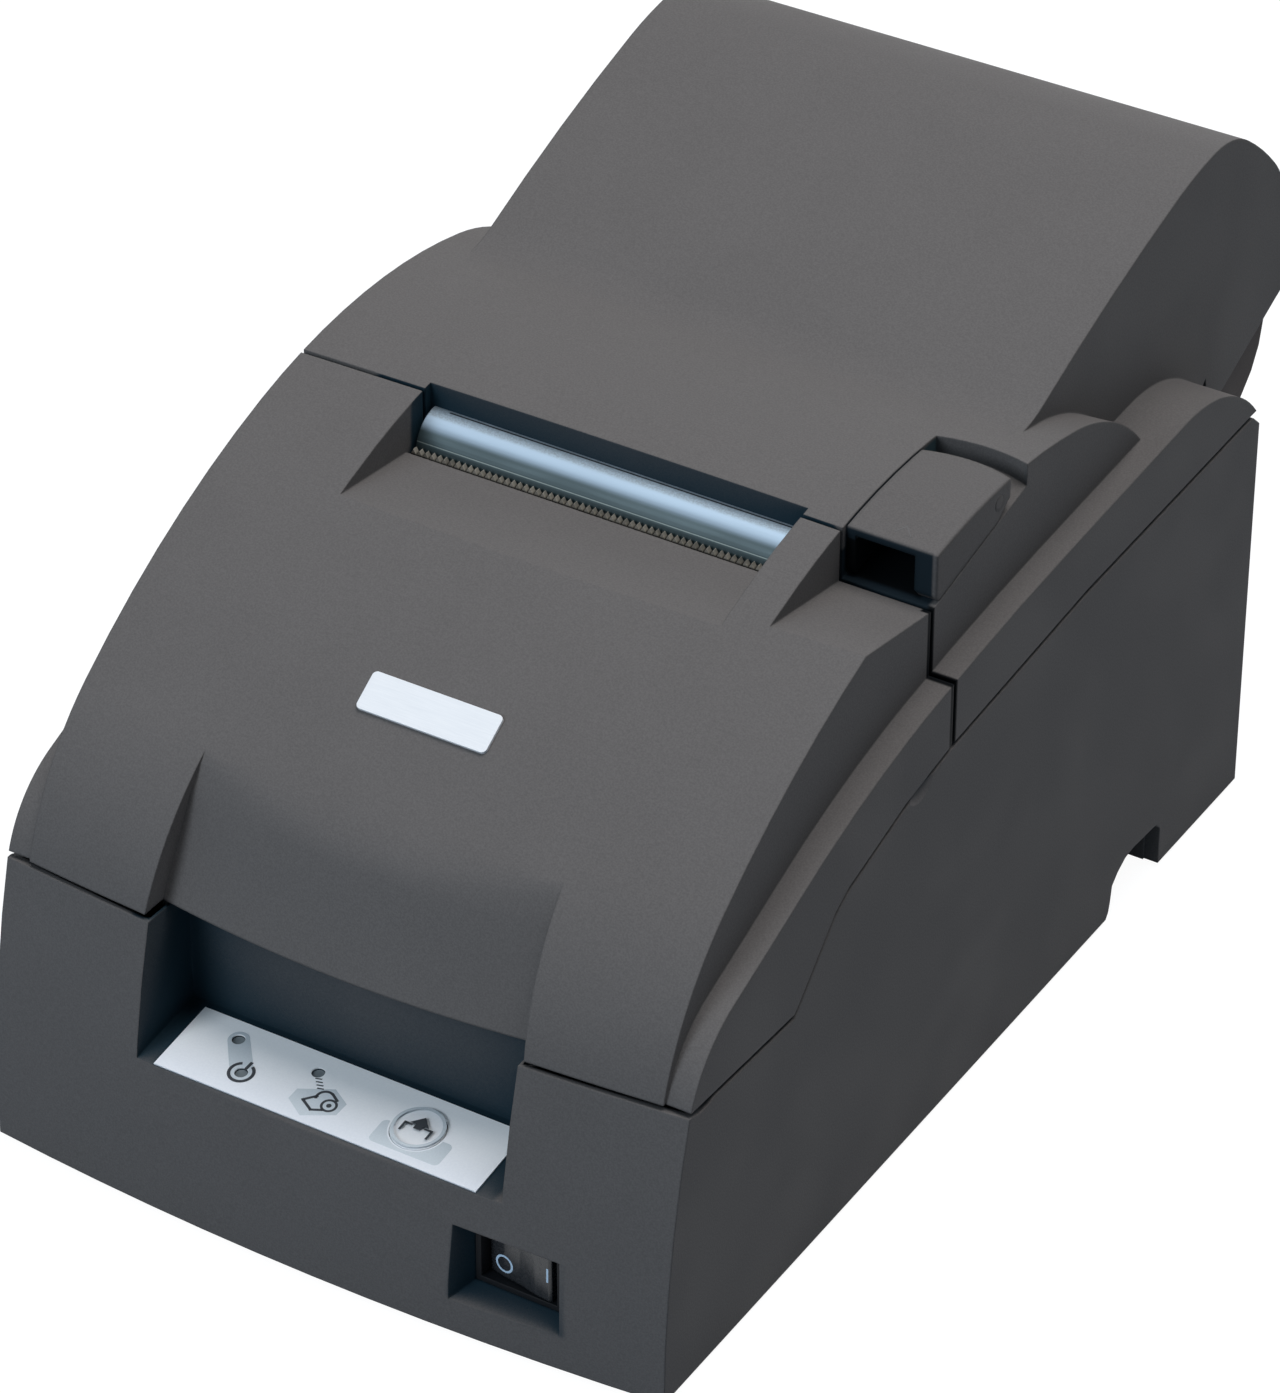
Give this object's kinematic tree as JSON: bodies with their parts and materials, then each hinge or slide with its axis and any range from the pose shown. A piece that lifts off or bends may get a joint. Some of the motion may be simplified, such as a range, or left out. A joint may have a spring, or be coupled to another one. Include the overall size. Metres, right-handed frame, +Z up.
{
  "type": "dot matrix printer",
  "caption": "Compact dot matrix printer with a hinged front cover over the print mechanism and a hinged rear cover with a take-up hood over the paper roll.",
  "frame": {"origin": "middle of the footprint, on the surface that the rubber feet stand on", "axes": "+X to the right seen from the front, +Y to the back, +Z up"},
  "size_m": [0.16, 0.286, 0.1574],
  "materials": {
    "case_plastic": "fine grained moulding",
    "dark_plastic": "fine grained moulding",
    "black_plastic": "plain moulding",
    "black_gloss": "polished moulding",
    "steel": "ground",
    "guide_steel": "satin",
    "blade_steel": "satin",
    "sheet_steel": "zinc plated sheet",
    "label_silver": "printed overlay film",
    "key_silver": "satin moulding",
    "lamp_lens": "clear moulding",
    "board_green": "circuit board",
    "head_alloy": "ribbed casting",
    "gear_plastic": "acetal",
    "pinion_brass": "turned",
    "belt_rubber": "toothed belt",
    "roller_rubber": "ground rubber",
    "ribbon_fabric": "inked fabric"
  },
  "bodies": {
    "base": {"lower_case": "case_plastic", "hinge_base": "dark_plastic", "front_hinge_pins": "steel", "rear_hinge_pins": "steel", "tear_blade": "blade_steel", "control_label": "label_silver", "button_spring": "steel", "led_lenses": "lamp_lens", "control_board": "board_green", "switch_housing": "black_plastic", "mech_frame": "sheet_steel", "platen": "black_plastic", "carriage_rod": "steel", "guide_rod": "steel", "carriage_motor": "sheet_steel", "drive_belt": "belt_rubber", "feed_motor": "sheet_steel", "ribbon_cassette": "black_plastic", "ribbon": "ribbon_fabric", "roll_holder": "black_plastic", "takeup_frame": "sheet_steel", "takeup_motor": "sheet_steel", "main_board": "board_green", "power_jack": "black_plastic", "data_connector": "steel", "drawer_connector": "black_plastic", "rubber_feet": "roller_rubber", "frame_screws": "steel"},
    "front_cover": {"front_cover": "case_plastic"},
    "rear_cover": {"rear_cover": "case_plastic", "paper_guide": "guide_steel", "lever_pin": "steel", "lever_spring": "steel", "pressure_shaft": "steel"},
    "cover_lever": {"cover_lever": "case_plastic"},
    "power_rocker": {"power_rocker": "black_gloss"},
    "feed_button": {"feed_button": "key_silver"},
    "carriage": {"carriage": "black_plastic", "print_head": "head_alloy"},
    "drive_pulley": {"drive_pulley": "gear_plastic"},
    "idler_pulley": {"idler_pulley": "gear_plastic"},
    "feed_roller": {"feed_roller": "roller_rubber", "feed_gear": "gear_plastic"},
    "motor_pinion": {"motor_pinion": "pinion_brass"},
    "pressure_rollers": {"pressure_rollers": "roller_rubber"},
    "ribbon_knob": {"ribbon_knob": "black_plastic"},
    "takeup_spool": {"takeup_spool": "gear_plastic", "spool_gear": "gear_plastic"},
    "takeup_pinion": {"takeup_pinion": "pinion_brass"}
  },
  "joints": [
    {"name": "front_cover_hinge", "type": "hinge", "parent": "base", "child": "front_cover", "pos_m": [0, -0.1241, 0.074], "axis": [1, 0, 0], "range_deg": [0, 65]},
    {"name": "rear_cover_hinge", "type": "hinge", "parent": "base", "child": "rear_cover", "pos_m": [0, 0.113, 0.101], "axis": [-1, 0, 0], "range_deg": [0, 75]},
    {"name": "cover_lever_pivot", "type": "hinge", "parent": "rear_cover", "child": "cover_lever", "pos_m": [0.064, -0.0025, 0.132], "axis": [-1, 0, 0], "range_deg": [0, 25], "stiffness_Nm_per_rad": 0.02, "springref_deg": -17.19},
    {"name": "rocker_pivot", "type": "hinge", "parent": "base", "child": "power_rocker", "pos_m": [0.045, -0.131, 0.018], "axis": [0, 0, 1], "range_deg": [0, 20]},
    {"name": "feed_button_press", "type": "slide", "parent": "base", "child": "feed_button", "axis": [0, 0.1184, -0.993], "range_m": [0, 0.0006], "stiffness_N_per_m": 300, "springref_m": -0.0008, "deforming": ["button_spring"]},
    {"name": "carriage_slide", "type": "slide", "parent": "base", "child": "carriage", "axis": [1, 0, 0], "range_m": [-0.034, 0.034]},
    {"name": "drive_pulley_spin", "type": "hinge", "parent": "base", "child": "drive_pulley", "pos_m": [-0.05, -0.077, 0.052], "axis": [0, 0, 1], "range_deg": [-380, 380]},
    {"name": "idler_pulley_spin", "type": "hinge", "parent": "base", "child": "idler_pulley", "pos_m": [0.05, -0.077, 0.052], "axis": [0, 0, 1], "range_deg": [-380, 380]},
    {"name": "feed_roller_spin", "type": "hinge", "parent": "base", "child": "feed_roller", "pos_m": [0, -0.039, 0.1115], "axis": [1, 0, 0], "continuous": true},
    {"name": "motor_pinion_spin", "type": "hinge", "parent": "base", "child": "motor_pinion", "pos_m": [0.066, -0.03068, 0.10452], "axis": [1, 0, 0], "continuous": true},
    {"name": "pressure_roller_spin", "type": "hinge", "parent": "rear_cover", "child": "pressure_rollers", "pos_m": [0, -0.0293, 0.1115], "axis": [1, 0, 0], "continuous": true},
    {"name": "ribbon_knob_spin", "type": "hinge", "parent": "base", "child": "ribbon_knob", "pos_m": [0.03, -0.086, 0.1], "axis": [0, 0, 1], "continuous": true},
    {"name": "takeup_spool_spin", "type": "hinge", "parent": "base", "child": "takeup_spool", "pos_m": [0, 0.095, 0.122], "axis": [1, 0, 0], "continuous": true},
    {"name": "takeup_pinion_spin", "type": "hinge", "parent": "base", "child": "takeup_pinion", "pos_m": [0.052, 0.10398, 0.10917], "axis": [1, 0, 0], "continuous": true}
  ],
  "couplings": [
    {"joint": "drive_pulley_spin", "follows": "carriage_slide", "rad_per_m": -185.19},
    {"joint": "idler_pulley_spin", "follows": "carriage_slide", "rad_per_m": -185.19},
    {"joint": "motor_pinion_spin", "follows": "feed_roller_spin", "ratio": -2},
    {"joint": "takeup_pinion_spin", "follows": "takeup_spool_spin", "ratio": -3.3333}
  ]
}
